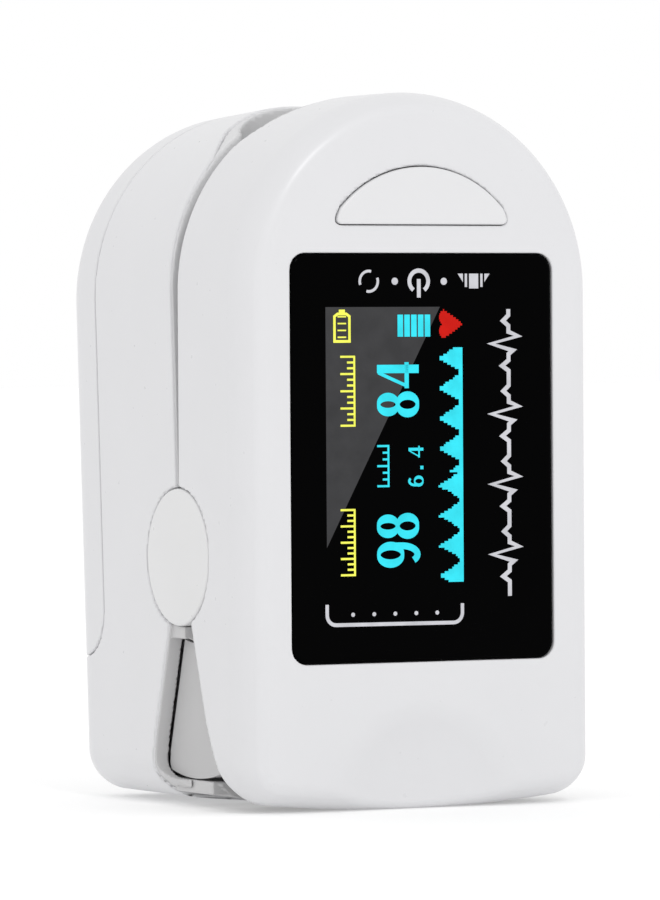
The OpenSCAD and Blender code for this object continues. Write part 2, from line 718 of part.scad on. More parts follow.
// Flat cable from the detector board, under the shaft, to the main board.
function leant(p) = [
    p[0] * cos(rear_lean) + (p[1] - hinge_z) * sin(rear_lean),
    hinge_z + (p[1] - hinge_z) * cos(rear_lean) - p[0] * sin(rear_lean)
];
cable_path = [
    leant([7.38, 36.9]), leant([7.38, 25]), leant([7.2, 22.6]), [6.2, 19.4], [4.4, 16.6], [2, 14.8],
    [-0.8, 14.2], [-3.2, 14.9], [-5, 16.2], [-6.2, 17.6], [-6.4, 18.6]
];
module flex_cable() color("darkorange") {
    n = len(cable_path);
    side = function(i, d)
        let (t = cable_path[min(i + 1, n - 1)] - cable_path[max(i - 1, 0)], u = t / norm(t))
        cable_path[i] + d * [u[1], -u[0]];
    edge = [for (i = [0:n - 1]) side(i, 0.09)];
    back = [for (i = [n - 1:-1:0]) side(i, -0.09)];
    across(-2.6, 2.6) polygon(concat(edge, back));
}

// ---------- the parts ----------

placed() {
    front_cover();
    display_window();
    window_tape();
    oled_panel();
    oled_foam();
    oled_ribbon();
    power_button();
    switch_plunger();
    tact_switch();
    main_board();
    microcontroller();
    board_components();
    front_frame();
    front_finger_pad();
    emitter_board();
    emitter_pins();
    led_emitter();
    emitter_lens();
    front_screws();
    rear_cover();
    battery_door();
    rear_frame();
    rear_finger_pad();
    detector_board();
    photodetector();
    detector_lens();
    rear_screws();
    battery_left();
    battery_right();
    battery_sleeve_left();
    battery_sleeve_right();
    bridge_contact();
    positive_contact();
    negative_contact();
    bridge_spring();
    negative_spring();
    hinge_shaft();
    hinge_cap_left();
    hinge_cap_right();
    torsion_spring_left();
    torsion_spring_right();
    flex_cable();
}
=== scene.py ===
"""Looks for a fingertip pulse oximeter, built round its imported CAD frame.

The mouldings are rounded here. Each is a distance field: arches, boxes and cylinders joined and cut with
rounded edges, then turned into a mesh. All of it is drawn in millimetres in the hinge's own frame, where
the hinge plane is y = 0, and put in place by place_y. The battery half is drawn upright and then leans.
"""

import bpy
import json
import math
import numpy as np
from mathutils import Matrix, Vector


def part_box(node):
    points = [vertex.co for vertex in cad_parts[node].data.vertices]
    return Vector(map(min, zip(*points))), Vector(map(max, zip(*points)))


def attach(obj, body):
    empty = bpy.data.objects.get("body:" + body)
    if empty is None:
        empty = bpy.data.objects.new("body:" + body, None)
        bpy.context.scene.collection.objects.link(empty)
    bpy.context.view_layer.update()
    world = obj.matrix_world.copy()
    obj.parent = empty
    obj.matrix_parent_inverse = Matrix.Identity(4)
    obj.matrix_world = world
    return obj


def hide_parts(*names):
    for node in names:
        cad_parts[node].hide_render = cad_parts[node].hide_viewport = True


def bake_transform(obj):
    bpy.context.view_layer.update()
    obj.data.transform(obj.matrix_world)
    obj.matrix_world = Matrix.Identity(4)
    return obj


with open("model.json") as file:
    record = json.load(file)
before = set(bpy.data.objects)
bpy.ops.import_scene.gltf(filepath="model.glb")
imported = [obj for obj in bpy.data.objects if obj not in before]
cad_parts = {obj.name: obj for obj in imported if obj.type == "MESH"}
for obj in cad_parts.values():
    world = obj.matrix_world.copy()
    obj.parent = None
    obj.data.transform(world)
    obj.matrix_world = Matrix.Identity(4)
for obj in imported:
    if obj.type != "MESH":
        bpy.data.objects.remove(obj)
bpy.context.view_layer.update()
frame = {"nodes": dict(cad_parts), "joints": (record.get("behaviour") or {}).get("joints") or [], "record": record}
nodes = frame["nodes"]
MM = 0.001

# ---------- driving sizes, from the frame ----------

joints = {j["name"]: j for j in frame["joints"]}
place_y = joints["jaw_hinge"]["pos_m"][1] / MM
hinge_z = joints["jaw_hinge"]["pos_m"][2] / MM
door_axis = joints["battery_door_slide"]["axis"]
lean = math.atan2(door_axis[1], door_axis[2])


def node_box(name):
    """A CAD node's lowest and highest corner, in millimetres in the hinge's frame."""
    lo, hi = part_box(name)
    shift = np.array([0, place_y, 0])
    return np.array(lo) / MM - shift, np.array(hi) / MM - shift


cover_lo, cover_hi = node_box("front_cover")
half_w = cover_hi[0]                       # half the body's width, and the arch's radius
arch_z = cover_hi[2] - half_w
face_y = cover_lo[1]
seam_y = cover_hi[1]
win_lo, win_hi = node_box("display_window")
cap_lo, cap_hi = node_box("hinge_cap_right")
cap_r = (cap_hi[2] - cap_lo[2]) / 2
cap_proud = cap_hi[0] - half_w

# ---------- sizes the frame doesn't state ----------

WALL, FLOOR_WALL, FRONT_WALL, DOOR_T = 1.3, 0.95, 1.8, 1.4
EDGE_R, EDGE_IN, BACK_R = 5.0, 1.3, 3.2
EDGE_OVER = EDGE_R - math.sqrt(EDGE_R ** 2 - (EDGE_R - EDGE_IN) ** 2)
BOW_R, CORNER_R, FLAT = 120.0, 3.0, 0.1
REAR_DEPTH, DOOR_Y, DOOR_Z, DOOR_CORNER = 20.6, 14.25, 12.6, 4.0
PLATE_Z, STOP_Z, PAD_TOP = 25.6, 27.0, 54.0
BAY_X, BAY_WALL, BAY_Y, BAY_T = 10.75, 0.75, 7.6, 0.8
FRONT_BED_R, FRONT_NOTCH_R, FRONT_NOTCH_Y = 22.0, 22.75, 20.1
FRONT_BED_Y = FRONT_BED_R - 2.9
REAR_BED_R, REAR_BED_Y, BED_T = 9.95, -2.8, 0.85
SCOOP_R, SCOOP_DEEP = 19.8, 1.6
LIP_THINNEST, LIP_FLARE_Z = 0.6, 51.5       # the grey lip of the finger opening, and where it starts to flare
LIP, RIM, RIM_PROUD = 0.2, 0.8, 0.06      # white lip outside the grey rim, the rim's thickness and height
EAR_R, EAR_X, CHEEK_X, SKIRT_X = 6.85, 14.075, 14.57, 14.5
FLOOR_TOP = STRIP_TOP = 2.24
BAR_FRONT, BAR_LOW = -0.35, 13.75           # the bar under the hinge cap
WINDOW_CORNER, EDGE_SOFT = 1.35, 0.2
CLOSE_STEP, CLOSE_REACH = 0.13, 0.4        # grid lines close to a fine edge

# ---------- distance fields ----------


def roundmax(a, b, r):
    """Where both fields are inside, with the edge between them rounded to radius r."""
    return np.minimum(-r, np.maximum(a, b)) + np.hypot(np.maximum(r + a, 0), np.maximum(r + b, 0))


def roundmin(a, b, r):
    return -roundmax(-a, -b, r)


def cut(a, b, r=EDGE_SOFT):
    return roundmax(a, -b, r)


def arch(x, z, inset=0.0):
    return np.where(z > arch_z, np.hypot(x, z - arch_z), np.abs(x)) - half_w + inset


def base(x, z, lift=0.0):
    return np.hypot(x, z - BOW_R + FLAT) - BOW_R + lift


def panel(u, v, half_u, half_v, r):
    """Rounded rectangle."""
    a, b = np.abs(u) - half_u + r, np.abs(v) - half_v + r
    return np.hypot(np.maximum(a, 0), np.maximum(b, 0)) + np.minimum(np.maximum(a, b), 0) - r


def block(x, y, z, lo, hi, r=0.0):
    """Box from lo to hi with rounded edges."""
    q = [np.abs(c - (a + b) / 2) - (b - a) / 2 + r for c, a, b in zip((x, y, z), lo, hi)]
    out = np.sqrt(sum(np.maximum(c, 0) ** 2 for c in q))
    return out + np.minimum(np.maximum(np.maximum(q[0], q[1]), q[2]), 0) - r


def behind(y, z, top, low):
    """Signed distance to the line from top to low, given as (y, z); positive on its +Y side."""
    dy, dz = top[0] - low[0], top[1] - low[1]
    n = math.hypot(dy, dz)
    return ((y - low[0]) * dz - (z - low[1]) * dy) / n


def pocket(x, y, z, extra=0.1, inner=13.5):
    """Round pocket of the hinge caps."""
    return np.maximum(np.hypot(y, z - hinge_z) - cap_r - extra, inner - np.abs(x))


def front_outside(x, y, z):
    outline = roundmax(arch(x, z), base(x, z), CORNER_R)
    d = roundmax(outline, face_y - EDGE_OVER - y, EDGE_R)
    d = roundmax(d, face_y - y, 0.5)
    return np.maximum(d, 0.02 - z)


def button_outline(x, z):
    d = roundmax(np.hypot(x, z - arch_z) - 9.9, arch_z + 5.25 - z, 0.5)
    return roundmax(d, np.abs(x) - 7.8, 0.5)


window_mid = (win_lo[2] + win_hi[2]) / 2
window_half = ((win_hi[0] - win_lo[0]) / 2, (win_hi[2] - win_lo[2]) / 2)


def window_outline(x, z, grow, r):
    return panel(x, z - window_mid, window_half[0] + grow, window_half[1] + grow, r)


def front_wedge(y, z):
    side = behind(y, z, (-2.3, 14.8), (-5.8, 4.2))
    under = behind(y, z, (-6.9, 2.1), (-9.9, -0.35))
    return roundmax(side, under, 3.2)


def front_shell(x, y, z):
    d = roundmax(front_outside(x, y, z), y - seam_y, 0.25)
    inner = roundmax(roundmax(arch(x, z, WALL), base(x, z, FLOOR_WALL), 1.7), face_y + FRONT_WALL - y, 1.5)
    d = cut(d, inner)
    for bx, bz, end in [(9.8, 8.9, -7.2), (11.3, 47.4, -2.9)]:
        post = np.maximum(np.hypot(np.abs(x) - bx, z - bz) - 1.6, np.maximum(y - end, face_y + 1 - y))
        d = roundmin(d, post, 0.3)
        d = cut(d, np.maximum(np.hypot(np.abs(x) - bx, z - bz) - 0.7, face_y + FRONT_WALL + 1 - y), 0.1)
    d = roundmax(d, front_wedge(y, z), 0.22)
    d = cut(d, pocket(x, y, z, 0.05), 0.1)
    d = cut(d, np.maximum(np.hypot(x, y - FRONT_NOTCH_Y) - FRONT_NOTCH_R, 52 - z), 0.35)
    d = cut(d, np.maximum(window_outline(x, z, 0.05, WINDOW_CORNER + 0.05), y - face_y - 1.1), 0.12)
    d = cut(d, np.maximum(window_outline(x, z, -1.2, 0.8), y), 0.1)
    d = cut(d, np.maximum(button_outline(x, z) - 0.08, y - face_y - FRONT_WALL - 1), 0.1)
    scoop = np.sqrt(x ** 2 + (y - face_y + SCOOP_R - SCOOP_DEEP) ** 2 + (z - 0.3) ** 2) - SCOOP_R
    return cut(d, scoop, 0.4)


def button_cap(x, y, z):
    d = roundmax(button_outline(x, z), face_y - 0.2 - y, 0.16)
    d = np.maximum(d, y - face_y - FRONT_WALL - 0.15)
    flange = np.maximum(button_outline(x, z) - 0.8, np.abs(y - face_y - FRONT_WALL - 0.325) - 0.225)
    stem = np.maximum(np.hypot(x, z - switch_z) - 1.2, np.abs(y - face_y - 2.3) - 0.8)
    return np.minimum(roundmin(d, flange, 0.15), stem)


def leant(v, w):
    """The hinge's frame, from the battery half's own upright frame."""
    c, s = math.cos(lean), math.sin(lean)
    return v * c + (w - hinge_z) * s, hinge_z + (w - hinge_z) * c - v * s


def rear_outside(x, v, w):
    y, z = leant(v, w)
    outline = roundmax(arch(x, w), base(x, z), CORNER_R)
    return np.maximum(roundmax(outline, v - REAR_DEPTH, BACK_R + 0.3), 0.02 - z)


def rear_inside(x, v, w):
    y, z = leant(v, w)
    return roundmax(roundmax(arch(x, w, WALL), base(x, z, FLOOR_WALL), 1.7), v - REAR_DEPTH + DOOR_T, 1.8)


def rear_wedge(y, z):
    """Negative on the battery half's side of the wedge."""
    chain = [(1.6, 15.2), (4.9, 4.3), (4.9, 2.8), (4.0, 1.7), (3.2, 1.05)]
    d = -behind(y, z, chain[0], chain[1])
    for a, b in zip(chain[1:], chain[2:]):
        d = roundmin(d, -behind(y, z, a, b), 0.5)
    return d


def door_region(x, v, w):
    return roundmax(DOOR_Y - v, DOOR_Z - w, DOOR_CORNER)


def flare(x, v, w, grow):
    """Round bed of the finger opening with its flare."""
    bed = np.hypot(x, v - REAR_BED_Y) - REAR_BED_R
    sides = np.maximum(v - 3.25, (np.abs(x) - 12.1) * 0.645 + (v + 0.3) * 0.763)
    return roundmin(bed, sides, 2.0) - grow


def rear_shell(x, v, w):
    y, z = leant(v, w)
    d = cut(rear_outside(x, v, w), rear_inside(x, v, w))
    d = cut(d, door_region(x, v, w), 0.12)
    tray = block(x, v, w, (-BAY_X - BAY_WALL, BAY_Y, 1), (BAY_X + BAY_WALL, DOOR_Y - 0.1, 50.5), 0.3)
    end = block(x, v, w, (-BAY_X - BAY_WALL, BAY_Y, 0), (BAY_X + BAY_WALL, REAR_DEPTH - DOOR_T, 2.2))
    ledge = np.maximum(np.maximum(arch(x, w, WALL - 0.2), np.abs(v - DOOR_Y + 0.55) - 0.45), DOOR_Z - w)
    bay = np.minimum(np.minimum(tray, end), ledge)
    bay = np.maximum(bay, base(x, z, FLOOR_WALL - 0.3))
    bay = cut(bay, block(x, v, w, (-BAY_X, BAY_Y + BAY_T, 2.1), (BAY_X, 40, 49.9), 0.4), 0.15)
    d = np.minimum(d, bay)
    for bx, bz in [(12.4, 31), (12.2, 45.5)]:
        post = np.hypot(np.abs(x) - bx, w - bz)
        d = np.minimum(d, np.maximum(post - 1.4, np.maximum(1.9 - v, v - DOOR_Y + 0.5)))
        d = np.maximum(d, -np.maximum(post - 0.6, v - 8))
    d = roundmax(d, rear_wedge(y, z) + RIM_PROUD, 0.2)
    d = roundmax(d, RIM_PROUD + 0.05 - v, 0.2)
    d = cut(d, pocket(x, y, z, 0.05), 0.1)
    return cut(d, np.maximum(flare(x, v, w, 0.05), 50 - w), 0.4)


def rear_frame(x, v, w):
    """Grey frame: ears, rim round the wedge, plate, finger bed and the funnel at its mouth."""
    y, z = leant(v, w)
    plate = np.maximum(np.maximum(arch(x, w, WALL + 0.2), np.abs(v - 1.2) - 0.6), PLATE_Z - w)
    rim = roundmax(roundmax(arch(x, w, LIP), np.abs(v - 0.42) - 0.38, 0.15), PLATE_Z - w, 0.1)
    bed = np.hypot(x, v - REAR_BED_Y)
    trough = np.maximum(np.maximum(arch(x, w, WALL + 0.2), np.abs(v - 3.95) - 3.35), bed - REAR_BED_R)
    trough = np.maximum(np.maximum(trough, PLATE_Z - w), w - arch_z - half_w + WALL + 0.1)
    mouth = np.maximum(np.maximum(arch(x, w, 0.12), flare(x, v, w, -0.05)), np.maximum(50.1 - w, 0.15 - v))
    d = roundmin(np.minimum(np.minimum(plate, rim), trough), mouth, 0.2)
    ear = np.maximum(np.hypot(y, z - hinge_z) - EAR_R, np.abs(np.abs(x) - EAR_X) - 0.375)
    strap = block(np.abs(x), y, z, (EAR_X - 0.375, 1.5, hinge_z), (EAR_X + 0.375, 4.8, 28.8), 0.1)
    floor_plate = block(x, y, z, (-SKIRT_X, -3.2, 1.15), (SKIRT_X, 6.2, FLOOR_TOP), 0.1)
    within = -rear_wedge(y, z) - RIM
    edge = np.maximum(np.maximum(rear_wedge(y, z), within), z - 14.9)
    # the strip along the floor narrows forwards, to pass inside the display half
    reach = SKIRT_X + (half_w - LIP - SKIRT_X) * np.clip((y + 1.5) / 5, 0, 1) ** 2
    strip = np.maximum(np.maximum(-1.2 - y, z - STRIP_TOP), within)
    outline = roundmax(np.abs(x) - half_w + LIP, base(x, z, 0.32), 2.6)
    skirt = roundmax(np.maximum(roundmin(edge, strip, 1.9), CHEEK_X - np.abs(x)), outline, 0.12)
    low = np.maximum(np.maximum(-3.3 - y, z - FLOOR_TOP), within)
    low = roundmax(roundmax(np.abs(x) - reach, base(x, z, 0.32), 2.6), low, 0.1)
    skirt = np.minimum(np.maximum(skirt, np.where(z < 3.2, np.abs(x) - reach, -1)), low)
    bar_under_cap = block(np.abs(x), y, z, (14.52, BAR_FRONT, BAR_LOW), (half_w - LIP - 0.25, 3.2, 15.5),
                          0.05)
    d = np.minimum(np.minimum(d, np.minimum(ear, strap)), np.minimum(floor_plate, skirt))
    d = np.minimum(d, bar_under_cap)
    lip_flare = np.minimum(0.05 * np.maximum(w - LIP_FLARE_Z, 0) ** 1.9, BED_T - LIP_THINNEST)
    funnel = bed - REAR_BED_R + BED_T - lip_flare
    d = cut(d, np.maximum(funnel, STOP_Z - w), 0.25)
    d = np.maximum(d, -block(x, v, w, (-3.7, 4, arch_z - 5.2), (3.7, 30, arch_z + 5.2)))
    d = np.maximum(d, -(np.hypot(y, z - hinge_z) - 1.02))
    return cut(d, pocket(x, y, z, 0.05, 14.55), 0.1)


def door_shell(x, v, w):
    d = cut(rear_outside(x, v, w), rear_inside(x, v, w))
    d = roundmax(d, door_region(x, v, w) + 0.09, 0.12)
    for i in range(4):
        d = cut(d, np.maximum(np.hypot(v - REAR_DEPTH, w - 18 - 2 * i) - 0.5, np.abs(x) - 6), 0.15)
    tongue = block(x, v, w, (-2.4, REAR_DEPTH - DOOR_T - 0.85, DOOR_Z - 2),
                   (2.4, REAR_DEPTH - DOOR_T + 0.2, DOOR_Z + 3), 0.15)
    gap = block(x, v, w, (-6, REAR_DEPTH - DOOR_T - 0.15, DOOR_Z - 3), (6, 40, DOOR_Z + 0.15))
    return np.minimum(d, np.maximum(tongue, -gap))


def lip_ribs(x, y, z, pitch=1.5, depth=0.08):
    """Shallow cross ribs moulded in the finger pads."""
    return depth * np.cos(2 * math.pi * z / pitch)


def front_pad(x, y, z):
    bed = np.hypot(x, y - FRONT_BED_Y)
    d = np.maximum(bed - FRONT_BED_R - 0.5, -(bed - FRONT_BED_R + BED_T + 0.1 + lip_ribs(x, y, z)))
    d = roundmax(d, np.maximum(np.abs(x) - 8, y + 1.9), 0.25)
    d = roundmax(d, np.abs(z - (STOP_Z + 1.1 + PAD_TOP - 0.1) / 2) - (PAD_TOP - 1.2 - STOP_Z) / 2, 0.3)
    return cut(d, panel(x, z - arch_z, 2.6, 2.6, 0.6), 0.3)


def rear_pad(x, v, w):
    bed = np.hypot(x, v - REAR_BED_Y)
    ribbed = bed - REAR_BED_R + BED_T + 0.95 + lip_ribs(x, v, w)
    d = np.maximum(bed - REAR_BED_R + BED_T + 0.02, -np.maximum(ribbed, STOP_Z + 1.2 - w))
    d = roundmax(d, 0.85 - v, 0.25)
    d = roundmax(d, np.abs(w - (STOP_Z + 0.1 + PAD_TOP) / 2) - (PAD_TOP - 0.1 - STOP_Z) / 2, 0.3)
    return cut(d, np.maximum(panel(x, w - arch_z, 2.6, 2.6, 0.6), 3 - v), 0.3)


# ---------- fields to meshes ----------


def slope(field, p, h):
    g = np.empty_like(p)
    for k in range(3):
        step = np.zeros(3)
        step[k] = h
        g[:, k] = (field(*(p + step).T) - field(*(p - step).T)) / (2 * h)
    return g


def grid_lines(lo, hi, step, close=()):
    """Places of the grid lines from lo to hi, a step apart, and closer near each of the places in close."""
    coarse = 1.0
    out = [lo - 1.5 * step]
    while out[-1] < hi + 1.5 * step:
        near = any(abs(out[-1] - c) < CLOSE_REACH for c in close)
        out.append(out[-1] + (CLOSE_STEP if near else step) * coarse)
    return np.array(out)


def surface_net(field, axes):
    """Vertices, quads and normals of the field's zero surface, from a grid with lines at these places."""
    count = np.array([len(a) for a in axes])
    cell = np.array([np.diff(a).min() for a in axes])
    value = field(axes[0][:, None, None], axes[1][None, :, None], axes[2][None, None, :])
    value = np.broadcast_to(value, count).copy()
    inside = value < 0
    total = np.zeros(count - 1, np.int8)
    for i in (0, 1):
        for j in (0, 1):
            for k in (0, 1):
                total += inside[i:count[0] - 1 + i, j:count[1] - 1 + j, k:count[2] - 1 + k]
    active = (total > 0) & (total < 8)
    ids = np.full(count - 1, -1, np.int64)
    cells = np.argwhere(active)
    ids[active] = np.arange(len(cells))
    place, hits = np.zeros((len(cells), 3)), np.zeros(len(cells))
    for axis in range(3):
        along = np.eye(3, dtype=int)[axis]
        for s in range(4):
            off = np.zeros(3, int)
            off[(axis + 1) % 3], off[(axis + 2) % 3] = s & 1, s >> 1
            a = cells + off
            fa, fb = value[tuple(a.T)], value[tuple((a + along).T)]
            m = (fa < 0) != (fb < 0)
            t = fa[m] / (fa[m] - fb[m])
            place[m] += a[m] + along * t[:, None]
            hits[m] += 1
    place /= hits[:, None]
    verts = np.stack([np.interp(place[:, k], np.arange(count[k]), axes[k]) for k in range(3)], 1)
    quads = []
    for axis in range(3):
        u, v = np.eye(3, dtype=int)[(axis + 1) % 3], np.eye(3, dtype=int)[(axis + 2) % 3]
        near = [slice(1, -1)] * 3
        far = [slice(1, -1)] * 3
        near[axis], far[axis] = slice(0, -1), slice(1, None)
        first = np.ones(3, int)
        first[axis] = 0
        edge = np.argwhere(inside[tuple(near)] != inside[tuple(far)]) + first
        corner = [ids[tuple((edge - o).T)] for o in (u + v, v, 0 * u, u)]
        q = np.stack(corner, 1)
        flip = ~inside[tuple(edge.T)]
        q[flip] = q[flip][:, ::-1]
        quads.append(q)
    reach = 0.08
    for _ in range(4):
        g = slope(field, verts, 0.01)
        f = field(*verts.T)
        size = np.maximum((g ** 2).sum(1), 0.2)
        verts = verts - g * np.clip(f / size, -reach, reach)[:, None]
    n = slope(field, verts, 0.06)
    n /= np.maximum(np.linalg.norm(n, axis=1), 1e-6)[:, None]
    return verts, np.concatenate(quads), n


def link(name, mesh, body, material, replaced=()):
    obj = bpy.data.objects.new(name, mesh)
    bpy.context.scene.collection.objects.link(obj)
    mesh.materials.append(material)
    if body:
        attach(obj, body)
    if replaced:
        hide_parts(*replaced)
    return obj


def to_world(points):
    return (np.asarray(points, float) + [0, place_y, 0]) * MM


def solid(name, field, lo, hi, cell, body, slot, replaced, close=((), (), ()), leaning=False):
    """A field as a smooth mesh; a leaning one is drawn in the battery half's upright frame."""
    axes = [grid_lines(lo[k], hi[k], cell[k], close[k]) for k in range(3)]
    verts, quads, normals = surface_net(field, axes)
    if leaning:
        turn = np.array(Matrix.Rotation(-lean, 3, "X"))
        verts = (verts - [0, 0, hinge_z]) @ turn.T + [0, 0, hinge_z]
        normals = normals @ turn.T
    mesh = bpy.data.meshes.new(name)
    mesh.from_pydata(to_world(verts).tolist(), [], quads.tolist())
    mesh.polygons.foreach_set("use_smooth", [True] * len(quads))
    mesh.normals_split_custom_set_from_vertices(normals.tolist())
    print(name, "quads", len(quads))
    return link(name, mesh, body, finish[slot], replaced)


# ---------- materials ----------


def linear(srgb):
    return tuple(c / 12.92 if c <= 0.04045 else ((c + 0.055) / 1.055) ** 2.4 for c in srgb)


def material(name, colour, rough=0.4, metal=0.0, grain=900, bump=0.0, mottle=0.02, streak=None, glow=0.0,
             clear=0.0, sheer=0.0, shine=0.5):
    """Moulded or machined finish: mottled colour, uneven roughness and a fine grain."""
    m = bpy.data.materials.new(name)
    m.use_nodes = True
    t = m.node_tree
    shader = t.nodes["Principled BSDF"]
    shader.inputs["Metallic"].default_value = metal
    shader.inputs["Specular IOR Level"].default_value = shine
    shader.inputs["Coat Weight"].default_value = clear
    shader.inputs["Coat Roughness"].default_value = 0.08
    shader.inputs["Transmission Weight"].default_value = sheer
    where = t.nodes.new("ShaderNodeTexCoord")
    stretch = t.nodes.new("ShaderNodeMapping")
    stretch.inputs["Scale"].default_value = streak or (1, 1, 1)
    t.links.new(where.outputs["Object"], stretch.inputs["Vector"])
    broad = t.nodes.new("ShaderNodeTexNoise")
    broad.inputs["Scale"].default_value = grain / 8
    broad.inputs["Detail"].default_value = 3
    fine = t.nodes.new("ShaderNodeTexNoise")
    fine.inputs["Scale"].default_value = grain
    fine.inputs["Detail"].default_value = 2
    for n in (broad, fine):
        t.links.new(stretch.outputs["Vector"], n.inputs["Vector"])
    ramp = t.nodes.new("ShaderNodeValToRGB")
    base_colour = linear(colour)
    for stop, k in ((0, 1 - mottle), (1, 1 + mottle)):
        ramp.color_ramp.elements[stop].color = (*[min(c * k, 1) for c in base_colour], 1)
        ramp.color_ramp.elements[stop].position = 0.3 + 0.4 * stop
    t.links.new(broad.outputs["Fac"], ramp.inputs["Fac"])
    t.links.new(ramp.outputs["Color"], shader.inputs["Base Color"])
    span = t.nodes.new("ShaderNodeMapRange")
    span.inputs["To Min"].default_value = max(rough - 0.05, 0.03)
    span.inputs["To Max"].default_value = rough + 0.05
    t.links.new(fine.outputs["Fac"], span.inputs["Value"])
    t.links.new(span.outputs["Result"], shader.inputs["Roughness"])
    if bump:
        relief = t.nodes.new("ShaderNodeBump")
        relief.inputs["Strength"].default_value = 0.5
        relief.inputs["Distance"].default_value = bump * MM
        t.links.new(fine.outputs["Fac"], relief.inputs["Height"])
        t.links.new(relief.outputs["Normal"], shader.inputs["Normal"])
    if glow:
        t.links.new(ramp.outputs["Color"], shader.inputs["Emission Color"])
        shader.inputs["Emission Strength"].default_value = glow
    return m


FINISHES = {
    "white_shell": dict(colour=(0.845, 0.845, 0.853), rough=0.3, grain=1400, bump=0.004, mottle=0.006),
    "cap_plastic": dict(colour=(0.85, 0.85, 0.852), rough=0.3, grain=1400, bump=0.004, mottle=0.006),
    "button_plastic": dict(colour=(0.85, 0.85, 0.856), rough=0.3, grain=1400, bump=0.004, mottle=0.006),
    "window_black": dict(colour=(0.008, 0.008, 0.009), rough=0.09, grain=600, mottle=0.1, shine=0.015),
    "tape_grey": dict(colour=(0.33, 0.33, 0.34), rough=0.8, grain=2500, bump=0.02, mottle=0.1),
    "oled_glass": dict(colour=(0.05, 0.05, 0.07), rough=0.12, grain=700, mottle=0.2),
    "foam_grey": dict(colour=(0.35, 0.35, 0.36), rough=0.95, grain=2800, bump=0.15, mottle=0.25),
    "flex_orange": dict(colour=(0.78, 0.42, 0.12), rough=0.35, grain=900, bump=0.005, mottle=0.08,
                        streak=(6, 1, 1)),
    "plunger_black": dict(colour=(0.07, 0.07, 0.07), rough=0.55, grain=1800, bump=0.006, mottle=0.1),
    "switch_steel": dict(colour=(0.72, 0.72, 0.74), rough=0.3, metal=1, grain=2200, bump=0.004, mottle=0.06,
                         streak=(1, 1, 8)),
    "board_green": dict(colour=(0.05, 0.3, 0.16), rough=0.35, grain=1300, bump=0.01, mottle=0.25, clear=0.5),
    "chip_black": dict(colour=(0.1, 0.1, 0.105), rough=0.6, grain=3000, bump=0.008, mottle=0.15),
    "ceramic_tan": dict(colour=(0.72, 0.6, 0.43), rough=0.45, grain=2500, bump=0.006, mottle=0.1),
    "frame_grey": dict(colour=(0.83, 0.83, 0.835), rough=0.5, grain=1400, bump=0.006, mottle=0.015),
    "pad_rubber": dict(colour=(0.3, 0.3, 0.31), rough=0.7, grain=2000, bump=0.02, mottle=0.08),
    "pin_gold": dict(colour=(0.9, 0.72, 0.35), rough=0.25, metal=1, grain=2600, bump=0.003, mottle=0.05),
    "led_white": dict(colour=(0.88, 0.88, 0.84), rough=0.35, grain=2000, mottle=0.03),
    "lens_red": dict(colour=(0.75, 0.12, 0.1), rough=0.12, grain=1200, mottle=0.1, sheer=0.5),
    "lens_clear": dict(colour=(0.85, 0.88, 0.88), rough=0.1, grain=1200, mottle=0.04, sheer=0.6),
    "screw_steel": dict(colour=(0.68, 0.68, 0.69), rough=0.28, metal=1, grain=3000, bump=0.004, mottle=0.06),
    "cell_steel": dict(colour=(0.74, 0.74, 0.75), rough=0.25, metal=1, grain=1500, bump=0.003, mottle=0.05,
                       streak=(1, 1, 6)),
    "sleeve_green": dict(colour=(0.13, 0.4, 0.3), rough=0.3, grain=900, bump=0.003, mottle=0.05, clear=0.3),
    "contact_steel": dict(colour=(0.76, 0.75, 0.72), rough=0.28, metal=1, grain=2400, bump=0.003, mottle=0.06,
                          streak=(8, 1, 1)),
    "spring_steel": dict(colour=(0.66, 0.66, 0.67), rough=0.3, metal=1, grain=3500, bump=0.003, mottle=0.08),
    "shaft_steel": dict(colour=(0.7, 0.7, 0.71), rough=0.22, metal=1, grain=2600, bump=0.002, mottle=0.05,
                        streak=(8, 1, 1)),
}
finish = {slot: material(slot, **look) for slot, look in FINISHES.items()}

for part in frame["record"]["subparts"]:
    if part["node"] in nodes:
        nodes[part["node"]].data.materials.clear()
        nodes[part["node"]].data.materials.append(finish[part["material_slot"]])
# the panel seen in the wedge is a shade darker than the rest of the grey frames
nodes["front_frame"].data.materials.clear()
panel_grey = material("panel_grey", (0.73, 0.728, 0.73), rough=0.5, grain=1400, bump=0.006, mottle=0.015)
nodes["front_frame"].data.materials.append(panel_grey)

# ---------- mouldings ----------

plunger_lo, plunger_hi = node_box("switch_plunger")
switch_z = (plunger_lo[2] + plunger_hi[2]) / 2
top = arch_z + half_w

win_edges = (win_lo[2] - 0.1, win_hi[2] + 0.1, arch_z + 5.2)
solid("front_shell", front_shell, (-half_w, face_y, 0), (half_w, seam_y, top), (0.32, 0.32, 0.36),
      "front_half", "white_shell", ["front_cover"],
      ((win_lo[0], win_hi[0]), (face_y, face_y + 0.5, seam_y), win_edges))
solid("power_button_cap", button_cap, (-8.6, face_y - 0.2, arch_z + 4.4),
      (8.6, face_y + 3.2, arch_z + 10.8), (0.14, 0.12, 0.14), "button", "button_plastic", ["power_button"])
lean_lo, lean_hi = (-half_w, 0, -1.2), (half_w, REAR_DEPTH, top)
solid("rear_shell", rear_shell, lean_lo, lean_hi, (0.34, 0.38, 0.38), "rear_half", "white_shell",
      ["rear_cover"],
      ((), (0.1, DOOR_Y), (DOOR_Z,)), True)
solid("battery_door_shell", door_shell, (-half_w, DOOR_Y, DOOR_Z - 2), lean_hi, (0.32, 0.34, 0.36),
      "door", "white_shell", ["battery_door"], ((), (DOOR_Y,), (DOOR_Z,)), True)
